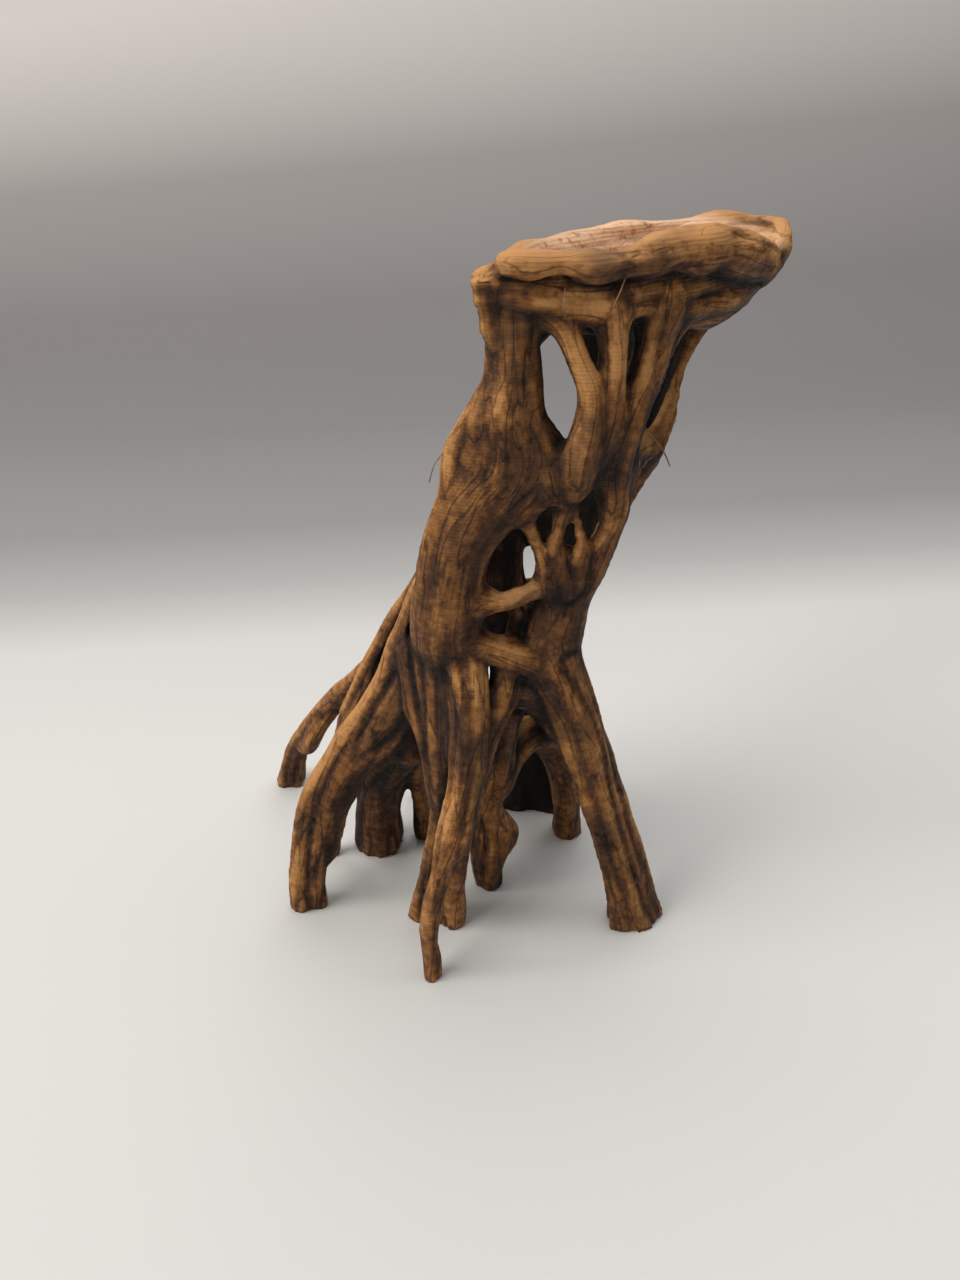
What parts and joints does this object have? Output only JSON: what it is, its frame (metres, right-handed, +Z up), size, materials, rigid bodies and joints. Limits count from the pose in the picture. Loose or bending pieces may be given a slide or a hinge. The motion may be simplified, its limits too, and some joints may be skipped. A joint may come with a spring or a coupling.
{
  "type": "dry root ornament",
  "caption": "Small one-piece mangrove-style root: a leaning hollow trunk of fused rootlets on spread feet, with a shallow trough on top.",
  "frame": {"origin": "on the resting plane, under the middle of the root's box", "axes": "+Z up, +X the way the trunk leans and the trough points, -Y the side of the long thin foot"},
  "size_m": [0.0762, 0.0538, 0.1022],
  "materials": {
    "wood": "matt, brown-stained, fine horizontal lines and grooves along the rootlets"
  },
  "bodies": {
    "root": {"root": "wood"}
  },
  "joints": []
}
